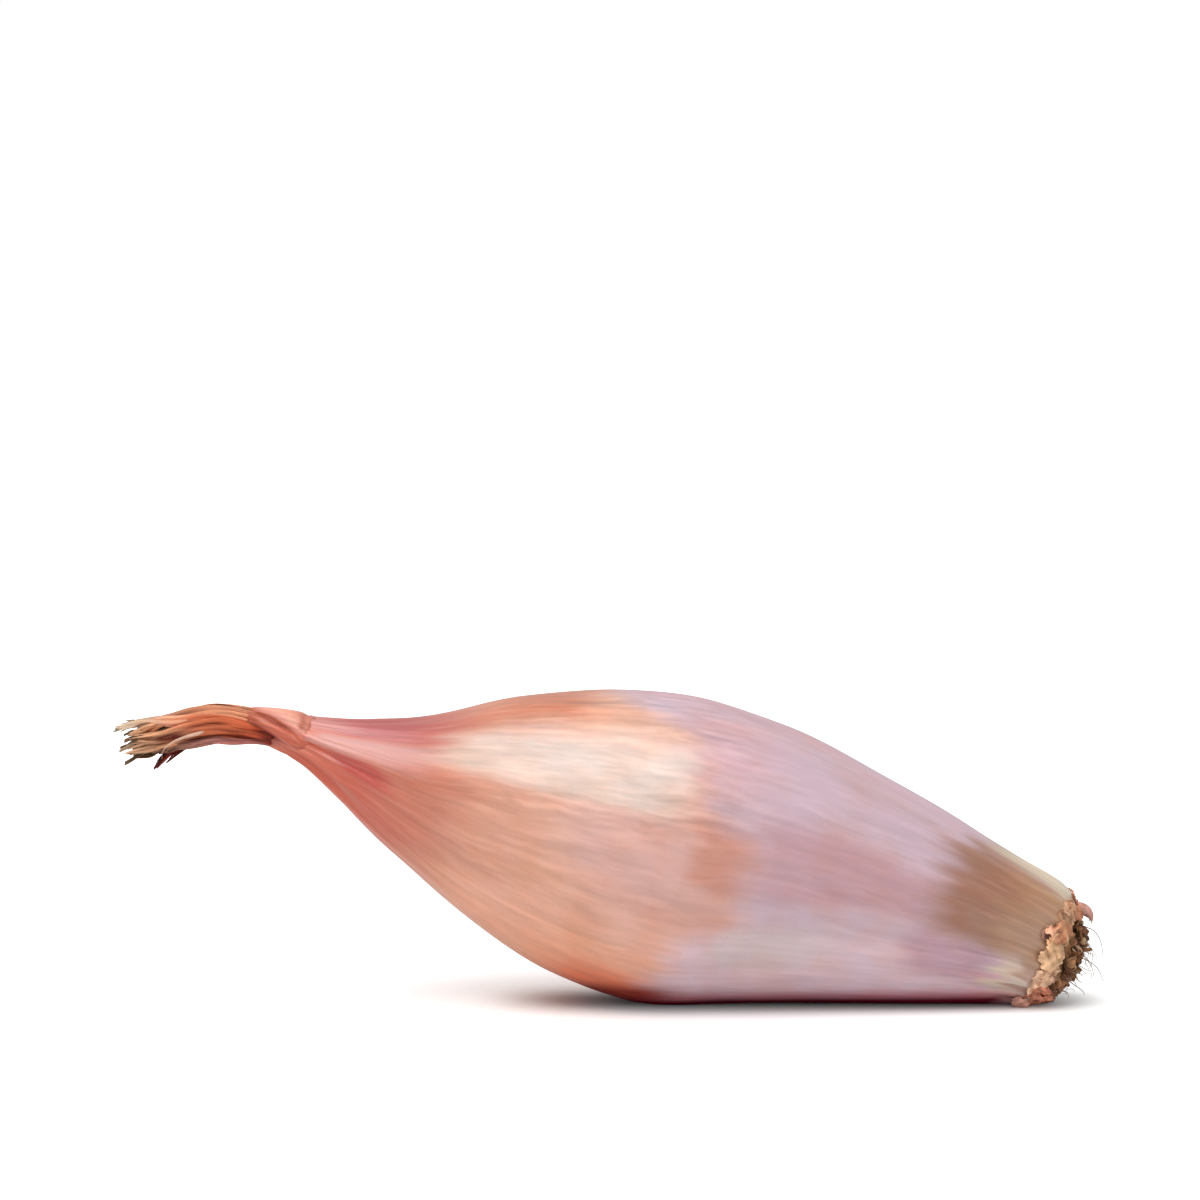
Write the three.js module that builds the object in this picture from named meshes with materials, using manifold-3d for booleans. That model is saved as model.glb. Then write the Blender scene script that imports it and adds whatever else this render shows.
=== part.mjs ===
// A banana shallot that lies on its belly: a long bulb in its own skin, pinched at the neck into a
// twisted wisp of dry leaves, with a corky root plate, loose skin flakes and a few dead roots.
//
// Millimetres, +Z up. The origin is the middle of the narrow flat strip that the bulb lies on, +X runs
// from the neck to the root, and -Y is the side that faces a viewer. Angles round the bulb, the leaves
// and the root plate start at the viewer's side and turn upwards.

import * as THREE from "three";
import * as BufferGeometryUtils from "three/addons/utils/BufferGeometryUtils.js";
import Module from "manifold-3d";

const wasm = await Module();
wasm.setup();

const { degToRad, lerp, smoothstep } = THREE.MathUtils;

// ---- Driving dimensions ------------------------------------------------------------------------

const GAP = 0.3; // air between neighbouring pieces

// The bulb from neck to root: distance along X, height of its spine, radius across the spine.
const BULB_STATIONS = [
  [-55.0, 36.0, 2.8],
  [-51.5, 34.7, 3.9],
  [-46.0, 32.4, 6.3],
  [-38.0, 29.3, 10.3],
  [-28.0, 26.4, 15.5],
  [-16.0, 23.3, 19.4],
  [-4.0, 20.7, 20.8],
  [8.0, 18.5, 19.2],
  [20.0, 15.5, 16.2],
  [31.0, 12.4, 13.2],
  [41.0, 9.2, 10.0],
  [46.0, 6.9, 8.3],
];
const BULB_SIDES = 40;
const BULB_RINGS = 46;
const FACETS = 5; // a bulb grows in soft, flat-sided turns
const FACET_DEPTH = 0.006; // share of the radius
const NECK_FOLDS = 6;
const NECK_FOLD_DEPTH = 0.14; // share of the radius, at the neck's end
const NECK_FOLD_LENGTH = 0.3; // share of the bulb's length
const NECK_FOLD_TWIST = 8; // radians of twist over the bulb's length
const RIM_STEP = 1.1; // the root end's rounded shoulder: how far it runs on past the last station
const RIM_SCALE = 0.8; // and how much it narrows

// The dry leaves twist round one line, from the neck's end to a drooping tip: X and height.
const LEAF_LINE = [
  [-55.5, 36.1],
  [-60.0, 37.2],
  [-65.5, 37.7],
  [-70.5, 36.7],
  [-75.0, 35.1],
  [-79.2, 33.3],
];
const LEAF_BUNDLE_RADIUS = 2.75;
const LEAF_BUNDLE_TAPER = 0.2; // share of its radius that the bundle loses to its tip
const LEAF_THICKNESS = 0.75;
const LEAF_THINNING = 0.4; // share of its thickness that a leaf loses to its tip
const LEAF_NARROWING = 0.5; // share of its width that a leaf loses to its tip
const LEAF_TWIST = 0.7; // radians over the line
const LEAF_PARTING = 0.4; // share of the line where the leaves begin to part
const LEAF_RUFFLE = { depth: 0.22, along: 9, across: 5 };
const LEAF_STEPS = 16;
const LEAF_COLUMNS = 5;
const CORE_RADIUS = 1.3;
const CORE_LENGTH = 0.85; // share of the line
const CORE_TAPER = 0.6;
const CORE_SIDES = 8;

// Each dry leaf: its place round the line, half its width, its length as a share of the line, and how
// far its tip splays out and droops.
const DRY_LEAVES = [
  { name: "dry_leaf_top", angle: 85, spread: 34, length: 0.93, splay: 0.9, droop: 0.2 },
  { name: "dry_leaf_front", angle: 10, spread: 32, length: 1.0, splay: 0.9, droop: 0.4 },
  { name: "dry_leaf_under", angle: -62, spread: 30, length: 0.84, splay: 1.2, droop: 0.7 },
  { name: "dry_leaf_drooping", angle: -132, spread: 26, length: 0.72, splay: 1.6, droop: 3.4 },
  { name: "dry_leaf_back", angle: 160, spread: 30, length: 0.9, splay: 1.2, droop: 0.5 },
];

// The collar is a flap of outer skin, wide round the neck's front and narrow on top of the leaves:
// X, height, inner radius.
const COLLAR_STATIONS = [
  [-53.8, 35.5, 3.9],
  [-55.6, 36.2, 3.4],
  [-57.6, 36.7, 3.15],
  [-59.8, 37.15, 3.15],
];
const COLLAR_WIDE_END = { angle: 22, spread: 70 };
const COLLAR_NARROW_END = { angle: 72, spread: 24 };
const COLLAR_THICKNESS = 0.5;
const COLLAR_ROWS = 7;
const COLLAR_COLUMNS = 9;

const PLATE_RADIUS = 6.0;
const PLATE_BULGE = 3.4;
const PLATE_SQUARENESS = 3; // 2 is an ellipse, and more is squarer
const PLATE_SIDES = 28;
const PLATE_RINGS = 8;
const PLATE_DENT = { depth: 0.35, lobes: 7, turnPerRing: 2.6, inward: 0.4 };
const INNER_STUBS = { radius: 1.7, count: 6 };
const OUTER_PLACES = { radius: 3.4, count: 12 }; // each holds a stub or a whole dead root
const STUB_RADIUS = 0.5;
const STUB_LENGTH = 0.9;
const STUB_TAPER = 0.6;
const STUB_SIDES = 6;
const FAN_DEPTH = 5; // the stubs and roots fan out from a point this far inside the rim

// Each skin flake on the rim: its place, half its width, its reach past the rim, and how far its free
// edge stands off the plate.
const SKIN_FLAKES = [
  { name: "skin_flake_top", angle: 74, spread: 14, reach: 2.9, lift: 1.9 },
  { name: "skin_flake_upper", angle: 38, spread: 15, reach: 2.2, lift: 0.6 },
  { name: "skin_flake_tan", angle: -9, spread: 23, reach: 2.8, lift: 0.3 },
  { name: "skin_flake_floor", angle: -56, spread: 16, reach: 2.5, lift: 0.0 },
  { name: "skin_flake_back_low", angle: -128, spread: 18, reach: 2.3, lift: 0.1 },
  { name: "skin_flake_back", angle: 178, spread: 22, reach: 2.7, lift: 0.5 },
  { name: "skin_flake_back_high", angle: 124, spread: 18, reach: 2.5, lift: 0.8 },
];
const FLAKE_THICKNESS = 0.5;
const FLAKE_CLEARANCE = 0.45;
const FLAKE_ROWS = 5;
const FLAKE_COLUMNS = 9;
const FLAKE_TEETH = 5;
const FLAKE_TOOTH_DEPTH = 0.3; // share of the reach
const FLAKE_BEND = 2.4; // past this distance from the rim a flake runs straight on

// Each dead root: its place on the plate, its reach, its rise or fall, and its radius at the plate.
const ROOTS = [
  { name: "root_long", place: 3, reach: 3.2, fall: 5.0, radius: 0.32 },
  { name: "root_front", place: 1, reach: 3.6, fall: 2.4, radius: 0.3 },
  { name: "root_low", place: 11, reach: 3.0, fall: 0.2, radius: 0.28 },
  { name: "root_back", place: 5, reach: 3.2, fall: 3.2, radius: 0.3 },
  { name: "root_back_low", place: 7, reach: 2.6, fall: 0.4, radius: 0.28 },
];
const ROOT_SIDES = 6;
const ROOT_STEPS = 9;
const ROOT_TIP = 0.45; // share of its radius that a dead root keeps at its tip

// ---- Materials -----------------------------------------------------------------------------------

const skin = { color: 0xd4a49a, roughness: 0.4 };
const orangeLeaf = { color: 0xc07a48, roughness: 0.7 };
const paleLeaf = { color: 0xd8a488, roughness: 0.65 };
const darkLeaf = { color: 0x8a4a26, roughness: 0.8 };
const paperFlake = { color: 0xc9926e, roughness: 0.75 };
const cork = { color: 0x6e4a2e, roughness: 0.9 };
const rootFibre = { color: 0xb9a684, roughness: 0.85 };

// ---- Helpers -------------------------------------------------------------------------------------

// A closed geometry from points and triangles, turned so that its faces point out.
function closedGeometry(points, triangles) {
  let volume = 0;
  for (const [a, b, c] of triangles) {
    volume += points[a].dot(new THREE.Vector3().crossVectors(points[b], points[c]));
  }
  const facing = volume > 0 ? triangles : triangles.map(([a, b, c]) => [a, c, b]);
  const geometry = new THREE.BufferGeometry().setFromPoints(points);
  geometry.setIndex(facing.flat());
  return geometry;
}

function middleOf(ring) {
  const sum = new THREE.Vector3();
  for (const point of ring) sum.add(point);
  return sum.divideScalar(ring.length);
}

// A closed skin through rings of points. Each end is closed by a fan round its own middle.
function loft(rings) {
  const sides = rings[0].length;
  const points = [...rings.flat(), middleOf(rings[0]), middleOf(rings.at(-1))];
  const firstMiddle = points.length - 2;
  const lastMiddle = points.length - 1;
  const last = (rings.length - 1) * sides;
  const triangles = [];
  for (let j = 0; j < sides; j++) {
    const next = (j + 1) % sides;
    for (let start = 0; start < last; start += sides) {
      const [a, b, c, d] = [start + j, start + next, start + sides + next, start + sides + j];
      triangles.push([a, b, c], [a, c, d]);
    }
    triangles.push([firstMiddle, next, j], [lastMiddle, last + j, last + next]);
  }
  return closedGeometry(points, triangles);
}

// A closed sheet between two faces, each a list of rows of points.
function sheet(outer, inner) {
  const rows = outer.length;
  const columns = outer[0].length;
  const points = [...outer.flat(), ...inner.flat()];
  const under = rows * columns;
  const triangles = [];
  const quad = (a, b, c, d) => triangles.push([a, b, c], [a, c, d]);
  for (let i = 0; i < rows - 1; i++) {
    for (let j = 0; j < columns - 1; j++) {
      const a = i * columns + j;
      const d = a + columns;
      quad(a, a + 1, d + 1, d);
      quad(under + a, under + d, under + d + 1, under + a + 1);
    }
    const left = i * columns;
    const right = left + columns - 1;
    quad(left, left + columns, under + left + columns, under + left);
    quad(right + columns, right, under + right, under + right + columns);
  }
  for (let j = 0; j < columns - 1; j++) {
    const last = (rows - 1) * columns + j;
    quad(j + 1, j, under + j, under + j + 1);
    quad(last, last + 1, under + last + 1, under + last);
  }
  return closedGeometry(points, triangles);
}

function grid(rows, columns, pointAt) {
  return Array.from({ length: rows }, (_, i) => Array.from({ length: columns },
    (_, j) => pointAt(i / (rows - 1), j / (columns - 1))));
}

function profileLine(stations) {
  return new THREE.CatmullRomCurve3(
    stations.map(([x, height]) => new THREE.Vector3(x, 0, height)), false, "catmullrom");
}

// A point at a radius and an angle round a line's own point.
function aroundLine(line, share, radius, angle) {
  const forward = line.getTangent(share);
  const up = new THREE.Vector3(-forward.z, 0, forward.x).multiplyScalar(Math.sign(forward.x));
  const point = line.getPoint(share);
  point.y -= radius * Math.cos(angle);
  return point.addScaledVector(up, radius * Math.sin(angle));
}

function solid(geometry) {
  const bare = geometry.clone();
  bare.deleteAttribute("normal");
  bare.deleteAttribute("uv");
  const merged = BufferGeometryUtils.mergeVertices(bare, 1e-3);
  const vertProperties = new Float32Array(merged.attributes.position.array);
  const triVerts = new Uint32Array(merged.index.array);
  return new wasm.Manifold(new wasm.Mesh({ numProp: 3, vertProperties, triVerts }));
}

function geometryOf(manifold) {
  const mesh = manifold.getMesh();
  const geometry = new THREE.BufferGeometry();
  geometry.setAttribute("position", new THREE.BufferAttribute(mesh.vertProperties, 3));
  geometry.setIndex(new THREE.BufferAttribute(mesh.triVerts, 1));
  return geometry;
}

// ---- Bulb ----------------------------------------------------------------------------------------

const spine = profileLine(BULB_STATIONS);
const girth = new THREE.CatmullRomCurve3(
  BULB_STATIONS.map(([x, , radius]) => new THREE.Vector3(x, radius, 0)), false, "catmullrom");

function skinRadius(share, angle) {
  const pinch = 1 - smoothstep(share, 0, NECK_FOLD_LENGTH);
  const folds = NECK_FOLD_DEPTH * pinch ** 2 * Math.cos(NECK_FOLDS * angle + NECK_FOLD_TWIST * share);
  const facets = FACET_DEPTH * Math.sin(FACETS * angle); // its lowest side is flat
  return girth.getPoint(share).y * (1 + folds + facets);
}

function bulbRing(share, scale, step) {
  const shift = spine.getTangent(share).multiplyScalar(step);
  return Array.from({ length: BULB_SIDES }, (_, j) => {
    const angle = (2 * Math.PI * (j + 0.5)) / BULB_SIDES; // a flat side, not an edge, faces down
    const point = aroundLine(spine, share, scale * skinRadius(share, angle), angle).add(shift);
    point.z = Math.max(point.z, 0); // the belly is flat where it would sink: the strip it lies on
    return point;
  });
}

function bulbGeometry() {
  const rings = Array.from({ length: BULB_RINGS }, (_, i) => bulbRing(i / (BULB_RINGS - 1), 1, 0));
  rings.push(bulbRing(1, RIM_SCALE, RIM_STEP));
  return loft(rings);
}

// ---- Dry leaves and collar -------------------------------------------------------------------------

const leafLine = profileLine(LEAF_LINE);

// A point of a leaf's face at a depth below its outer face: a crescent round the line, which twists
// with it, narrows to the tip, and there leaves the bundle.
function leafPoint(leaf, depth, share, across) {
  const along = share * leaf.length;
  const parting = smoothstep(along, LEAF_PARTING, 1);
  const middle = degToRad(leaf.angle) + LEAF_TWIST * along;
  const spread = degToRad(leaf.spread) * (1 - LEAF_NARROWING * share ** 3);
  const wave = Math.sin(LEAF_RUFFLE.along * share + LEAF_RUFFLE.across * across + leaf.angle);
  const ruffle = LEAF_RUFFLE.depth * parting * wave;
  const radius = LEAF_BUNDLE_RADIUS * (1 - LEAF_BUNDLE_TAPER * along) + ruffle - depth;
  const point = aroundLine(leafLine, along, radius, middle + lerp(-spread, spread, across));
  const splayed = aroundLine(leafLine, along, leaf.splay * parting, middle);
  point.add(splayed).sub(leafLine.getPoint(along));
  point.z -= leaf.droop * parting ** 2;
  return point;
}

function leafGeometry(leaf) {
  const face = (depth) => grid(LEAF_STEPS, LEAF_COLUMNS, (share, across) =>
    leafPoint(leaf, depth * (1 - LEAF_THINNING * share), share, across));
  return sheet(face(0), face(LEAF_THICKNESS));
}

function coreGeometry() {
  const rings = Array.from({ length: LEAF_STEPS }, (_, i) => {
    const share = i / (LEAF_STEPS - 1);
    const radius = CORE_RADIUS * (1 - CORE_TAPER * share ** 2);
    return Array.from({ length: CORE_SIDES }, (_side, j) =>
      aroundLine(leafLine, CORE_LENGTH * share, radius, (2 * Math.PI * j) / CORE_SIDES));
  });
  return loft(rings);
}

function collarGeometry() {
  const line = profileLine(COLLAR_STATIONS);
  const inner = new THREE.CatmullRomCurve3(
    COLLAR_STATIONS.map(([x, , radius]) => new THREE.Vector3(x, radius, 0)), false, "catmullrom");
  const face = (height) => grid(COLLAR_ROWS, COLLAR_COLUMNS, (share, across) => {
    const middle = lerp(COLLAR_WIDE_END.angle, COLLAR_NARROW_END.angle, share);
    const spread = lerp(COLLAR_WIDE_END.spread, COLLAR_NARROW_END.spread, share);
    const angle = degToRad(lerp(middle - spread, middle + spread, across));
    return aroundLine(line, share, inner.getPoint(share).y + height, angle);
  });
  return sheet(face(COLLAR_THICKNESS), face(0));
}

// ---- Root end ------------------------------------------------------------------------------------

// The root end's own frame: its middle, its axis out of the bulb, and its upward direction.
const rootAxis = spine.getTangent(1);
const rootUp = new THREE.Vector3(-rootAxis.z, 0, rootAxis.x);
const rootCentre = spine.getPoint(1).addScaledVector(rootAxis, RIM_STEP + GAP);

function rootPoint(out, radius, angle) {
  const point = rootCentre.clone().addScaledVector(rootAxis, out);
  point.addScaledVector(rootUp, radius * Math.sin(angle));
  point.y -= radius * Math.cos(angle);
  return point;
}

const superellipse = (share) => Math.max(0, 1 - share ** PLATE_SQUARENESS) ** (1 / PLATE_SQUARENESS);
const plateRadius = (out) => PLATE_RADIUS * superellipse(out / PLATE_BULGE);
const plateHeight = (radius) => PLATE_BULGE * superellipse(radius / PLATE_RADIUS);

// The corky dome, from its flat back to its top. Its first ring stays round, and the others are dented.
function plateDome() {
  const rings = Array.from({ length: PLATE_RINGS }, (_, i) => {
    const radius = PLATE_RADIUS * Math.cos((0.5 * Math.PI * i) / PLATE_RINGS);
    const depth = i === 0 ? 0 : PLATE_DENT.depth;
    return Array.from({ length: PLATE_SIDES }, (_side, j) => {
      const angle = (2 * Math.PI * j) / PLATE_SIDES;
      const dent = depth * (0.5 + 0.5 * Math.sin(PLATE_DENT.lobes * angle + PLATE_DENT.turnPerRing * i));
      return rootPoint(plateHeight(radius) - dent, radius - PLATE_DENT.inward * dent, angle);
    });
  });
  return loft(rings);
}

// The place on the dome at a radius and angle, and the direction out of it there.
function plateSpot(radius, angle) {
  const spot = rootPoint(plateHeight(radius), radius, angle);
  const direction = spot.clone().sub(rootPoint(-FAN_DEPTH, 0, 0)).normalize();
  return { spot, direction };
}

function stubGeometry(radius, angle) {
  const { spot, direction } = plateSpot(radius, angle);
  const buried = 2 * PLATE_DENT.depth;
  const length = STUB_LENGTH + buried;
  const stub = new THREE.CylinderGeometry(STUB_TAPER * STUB_RADIUS, STUB_RADIUS, length, STUB_SIDES);
  stub.translate(0, 0.5 * length - buried, 0);
  const turn = new THREE.Quaternion().setFromUnitVectors(new THREE.Vector3(0, 1, 0), direction);
  stub.applyQuaternion(turn);
  return stub.translate(spot.x, spot.y, spot.z);
}

const placeAngle = (place, count) => (2 * Math.PI * place) / count;

function rootPlateGeometry() {
  const rootPlaces = ROOTS.map((root) => root.place);
  let plate = solid(plateDome()).add(solid(stubGeometry(0, 0)));
  for (let k = 0; k < INNER_STUBS.count; k++) {
    plate = plate.add(solid(stubGeometry(INNER_STUBS.radius, placeAngle(k, INNER_STUBS.count))));
  }
  for (let k = 0; k < OUTER_PLACES.count; k++) {
    if (rootPlaces.includes(k)) continue;
    plate = plate.add(solid(stubGeometry(OUTER_PLACES.radius, placeAngle(k, OUTER_PLACES.count))));
  }
  return geometryOf(plate);
}

function flakeGeometry(flake) {
  const face = (height) => grid(FLAKE_ROWS, FLAKE_COLUMNS, (share, across) => {
    const tooth = FLAKE_TOOTH_DEPTH * Math.sin(Math.PI * FLAKE_TEETH * across + flake.angle) ** 2;
    const out = lerp(GAP, flake.reach * (1 - tooth), share);
    const radius = plateRadius(Math.min(out, FLAKE_BEND)) + FLAKE_CLEARANCE + flake.lift * share ** 2;
    const angle = degToRad(lerp(flake.angle - flake.spread, flake.angle + flake.spread, across));
    const point = rootPoint(out, radius + height, angle);
    if (height > 0) point.z = Math.max(point.z, 0); // the lowest flake lies on the floor
    return point;
  });
  return sheet(face(FLAKE_THICKNESS), face(0));
}

function rootGeometry(root) {
  const { spot, direction } = plateSpot(OUTER_PLACES.radius, placeAngle(root.place, OUTER_PLACES.count));
  const start = spot.clone().addScaledVector(direction, GAP + root.radius);
  const bend = start.clone().addScaledVector(direction, 0.6 * root.reach);
  const turn = start.clone().addScaledVector(direction, root.reach);
  const tip = turn.clone();
  turn.z -= 0.3 * root.fall;
  tip.z -= root.fall;
  const path = new THREE.CubicBezierCurve3(start, bend, turn, tip);
  const { normals, binormals } = path.computeFrenetFrames(ROOT_STEPS - 1, false);
  const rings = normals.map((normal, i) => {
    const share = i / (ROOT_STEPS - 1);
    const radius = root.radius * lerp(1, ROOT_TIP, share);
    return Array.from({ length: ROOT_SIDES }, (_, j) => {
      const angle = (2 * Math.PI * j) / ROOT_SIDES;
      return path.getPointAt(share)
        .addScaledVector(normal, radius * Math.cos(angle))
        .addScaledVector(binormals[i], radius * Math.sin(angle));
    });
  });
  return loft(rings);
}

// ---- Assembly --------------------------------------------------------------------------------------

const shallot = new THREE.Group();
shallot.name = "banana_shallot";

function add(name, geometry, finish) {
  const mesh = new THREE.Mesh(geometry, new THREE.MeshStandardMaterial({ ...finish, metalness: 0 }));
  mesh.name = name;
  shallot.add(mesh);
}

add("bulb", bulbGeometry(), skin);
add("neck_collar", collarGeometry(), paleLeaf);
add("dry_leaf_core", coreGeometry(), darkLeaf);
for (const leaf of DRY_LEAVES) add(leaf.name, leafGeometry(leaf), orangeLeaf);
add("root_plate", rootPlateGeometry(), cork);
for (const flake of SKIN_FLAKES) add(flake.name, flakeGeometry(flake), paperFlake);
for (const root of ROOTS) add(root.name, rootGeometry(root), rootFibre);

export default shallot;
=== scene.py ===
"""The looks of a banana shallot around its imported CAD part: veined papery skin, a pinched neck, crumpled
dry leaf ends, a crumbly root plate with flakes and fine roots, on a plain white floor.

Shapes are worked out in millimetres from the same stations as the CAD part, in its frame: +X runs from
the neck to the root, +Z is up, and angles start at the viewer's side (-Y) and turn upwards.
"""

from collections import namedtuple
from math import cos, pi, radians, sin, sqrt

import bpy
import numpy as np
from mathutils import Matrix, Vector

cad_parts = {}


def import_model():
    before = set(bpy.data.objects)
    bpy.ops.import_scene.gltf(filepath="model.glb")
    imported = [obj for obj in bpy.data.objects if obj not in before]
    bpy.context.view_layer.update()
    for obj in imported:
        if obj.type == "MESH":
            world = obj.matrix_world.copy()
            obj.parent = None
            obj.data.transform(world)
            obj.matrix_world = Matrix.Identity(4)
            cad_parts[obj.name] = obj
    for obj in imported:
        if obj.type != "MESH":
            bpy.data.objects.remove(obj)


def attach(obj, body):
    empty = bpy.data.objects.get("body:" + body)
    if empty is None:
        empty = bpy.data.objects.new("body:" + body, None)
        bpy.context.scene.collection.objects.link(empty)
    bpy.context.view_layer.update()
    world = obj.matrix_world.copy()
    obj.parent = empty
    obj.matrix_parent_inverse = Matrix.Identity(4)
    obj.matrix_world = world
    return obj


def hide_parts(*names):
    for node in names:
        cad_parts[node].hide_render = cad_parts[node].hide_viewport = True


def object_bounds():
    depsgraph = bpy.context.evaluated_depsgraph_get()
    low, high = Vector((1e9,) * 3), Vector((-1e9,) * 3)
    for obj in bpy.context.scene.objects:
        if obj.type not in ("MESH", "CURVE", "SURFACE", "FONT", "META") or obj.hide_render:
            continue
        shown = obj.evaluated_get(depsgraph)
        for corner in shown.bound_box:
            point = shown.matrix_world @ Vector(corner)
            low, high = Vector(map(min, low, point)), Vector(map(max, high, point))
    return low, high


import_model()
cad_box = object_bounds()

MM = 0.001

# ---- Driving dimensions, as in the CAD part ----

# The bulb's spine from neck to root: X, height and the radius round it
BULB_STATIONS = [
    (-55, 36, 2.8), (-51.5, 34.7, 3.9), (-46, 32.4, 6.3), (-38, 29.3, 10.3),
    (-28, 26.4, 15.5), (-16, 23.3, 19.4), (-4, 20.7, 20.8), (8, 18.5, 19.2),
    (20, 15.5, 16.2), (31, 12.4, 13.2), (41, 9.2, 10), (46, 6.9, 8.3),
]
RIM_STEP = 1.1

LEAF_LINE = [
    (-55.5, 36.1), (-60, 37.2), (-65.5, 37.7), (-70.5, 36.7), (-75, 35.1), (-79.2, 33.3),
]
BUNDLE_RADIUS = 2.75
BUNDLE_TAPER = 0.2
LEAF_TWIST = 0.7

# The collar's line: X, height and the radius of the flap round it
COLLAR_STATIONS = [
    (-52.4, 35, 2.95), (-53.8, 35.5, 3.5), (-55.6, 36.2, 3.35),
    (-57.6, 36.75, 3.05), (-59.8, 37.1, 2.78), (-61.6, 37.3, 2.55),
]

PLATE_RADIUS = 6.0
PLATE_BULGE = 3.4
PLATE_SQUARENESS = 3
PLATE_GAP = 0.3
FAN_DEPTH = 5.0

# ---- Numbers ----


def smoothstep(value, low, high):
    share = np.clip((value - low) / (high - low), 0, 1)
    return share * share * (3 - 2 * share)


def lerp(a, b, share):
    return a + (b - a) * share


def catmull(stations, share):
    """The smooth curve through stations, at shares from 0 to 1, with the stations evenly spaced."""
    points = np.asarray(stations, float)
    padded = np.vstack([2 * points[0] - points[1], points, 2 * points[-1] - points[-2]])
    spot = np.asarray(share, float) * (len(points) - 1)
    first = np.clip(np.floor(spot).astype(int), 0, len(points) - 2)
    w = (spot - first)[..., None]
    p0, p1, p2, p3 = (padded[first + k] for k in range(4))
    v0 = (p2 - p0) / 2
    v1 = (p3 - p1) / 2
    return (2 * p1 - 2 * p2 + v0 + v1) * w**3 + (3 * p2 - 3 * p1 - 2 * v0 - v1) * w**2 + v0 * w + p1


def unit(vectors):
    """Vectors brought to length 1."""
    return vectors / np.linalg.norm(vectors, axis=-1, keepdims=True)


def direction(stations, share):
    """The curve's forward direction, as (x, height)."""
    step = 1e-3
    ahead = catmull(stations, np.clip(share + step, 0, 1))[..., :2]
    behind = catmull(stations, np.clip(share - step, 0, 1))[..., :2]
    return unit(ahead - behind)


def around(stations, share, radius, angle):
    """Points at a radius and an angle round the curve."""
    share, radius, angle = np.broadcast_arrays(share, radius, angle)
    middle = catmull(stations, share)
    forward = direction(stations, share)
    side = np.sign(forward[..., 0])
    rise = radius * np.sin(angle)
    x = middle[..., 0] - forward[..., 1] * side * rise
    z = middle[..., 1] + forward[..., 0] * side * rise
    return np.stack([x, -radius * np.cos(angle), z], -1)


def ripples(seed, along, turn, along_rate, turn_rate, count=14):
    """Smooth noise of about unit size. Turn is an angle, and the noise closes on itself round it."""
    random = np.random.default_rng(seed)
    total = 0
    for _ in range(count):
        phase = random.uniform(0, 2 * pi)
        rate = random.uniform(-along_rate, along_rate)
        turns = random.integers(-turn_rate, turn_rate + 1)
        total += np.cos(rate * along + turns * turn + phase)
    return total * sqrt(2 / count)


def waves(seed, along, count=8):
    """Smooth noise of about unit size along one direction only."""
    return ripples(seed, along, 0, 1, 0, count)


def bump(value, middle, half_width):
    """1 at the middle, fading smoothly to 0 on both sides."""
    return np.exp(-(((value - middle) / half_width) ** 2))


def hill(value, begins, full, fades, gone):
    """1 between full and fades, and smoothly 0 outside."""
    return smoothstep(value, begins, full) * (1 - smoothstep(value, fades, gone))


def turned(angle):
    """An angle brought between -pi and pi."""
    return (angle + pi) % (2 * pi) - pi


def bump_at(angle, middle, half_width):
    """A bump round the bulb. Its middle and half width are in degrees."""
    return bump(turned(angle - radians(middle)), 0, radians(half_width))


def grid(rows, columns, low=-1):
    """Shares from 0 to 1 down the rows, and places from low to 1 across the columns."""
    return np.linspace(0, 1, rows)[:, None], np.linspace(low, 1, columns)[None, :]


def circle(count):
    """Angles spaced evenly round a circle."""
    return np.arange(count) / count * 2 * pi


# ---- Meshes ----


def loft(rings):
    """Points and faces of a closed body through rings, an array of rows, columns and 3."""
    rows, columns, _ = rings.shape
    sides = [(j, (j + 1) % columns) for j in range(columns)]
    faces = []
    for row in range(0, (rows - 1) * columns, columns):
        faces += [(row + j, row + k, row + columns + k, row + columns + j) for j, k in sides]
    last, middle = (rows - 1) * columns, rows * columns
    for j, k in sides:
        faces += [(middle, k, j), (middle + 1, last + j, last + k)]
    return np.vstack([rings.reshape(-1, 3), rings[0].mean(0), rings[-1].mean(0)]), faces


def sheet(outer, inner):
    """Points and faces of a closed sheet between two faces, arrays of rows, columns and 3."""
    rows, columns, _ = outer.shape
    number = np.arange(rows * columns).reshape(rows, columns)
    under = rows * columns
    faces = []
    for a in number[:-1, :-1].ravel().tolist():
        b, c, d = a + 1, a + 1 + columns, a + columns
        faces += [(a, b, c, d), (under + d, under + c, under + b, under + a)]
    edges = [number[0], number[1:, -1], number[-1, -2::-1], number[-2:0:-1, 0]]
    loop = np.concatenate(edges).tolist()
    for a, b in zip(loop, loop[1:] + loop[:1]):
        faces.append((b, a, under + a, under + b))
    return np.vstack([outer.reshape(-1, 3), inner.reshape(-1, 3)]), faces


def both_faces(values):
    """Values on a sheet's outer face, for its two faces."""
    flat = values.reshape(-1, *values.shape[2:])
    return np.concatenate([flat, flat])


def outward(points, faces):
    """The faces of a closed body, turned to point out."""
    halves = [face[:3] for face in faces] + [(face[0], *face[2:]) for face in faces if len(face) == 4]
    a, b, c = np.asarray(points)[np.array(halves)].transpose(1, 0, 2)
    volume = np.einsum("ij,ij->", a, np.cross(b, c))
    return faces if volume > 0 else [face[::-1] for face in faces]


def joined(bodies):
    """Several bodies as one: each is (points, faces, {attribute: values})."""
    points = []
    faces = []
    values = {}
    start = 0
    for body_points, body_faces, body_values in bodies:
        points.append(body_points)
        faces += [tuple(start + k for k in face) for face in outward(body_points, body_faces)]
        start += len(body_points)
        for key, value in body_values.items():
            value = np.asarray(value, float)
            shape = (len(body_points), 3) if value.shape[-1:] == (3,) else (len(body_points),)
            values.setdefault(key, []).append(np.broadcast_to(value, shape))
    return np.vstack(points), faces, {key: np.concatenate(value) for key, value in values.items()}


def lifted(points, lowest):
    """Points, none of them lower than a height."""
    return np.maximum(points, [-np.inf, -np.inf, lowest])


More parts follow.
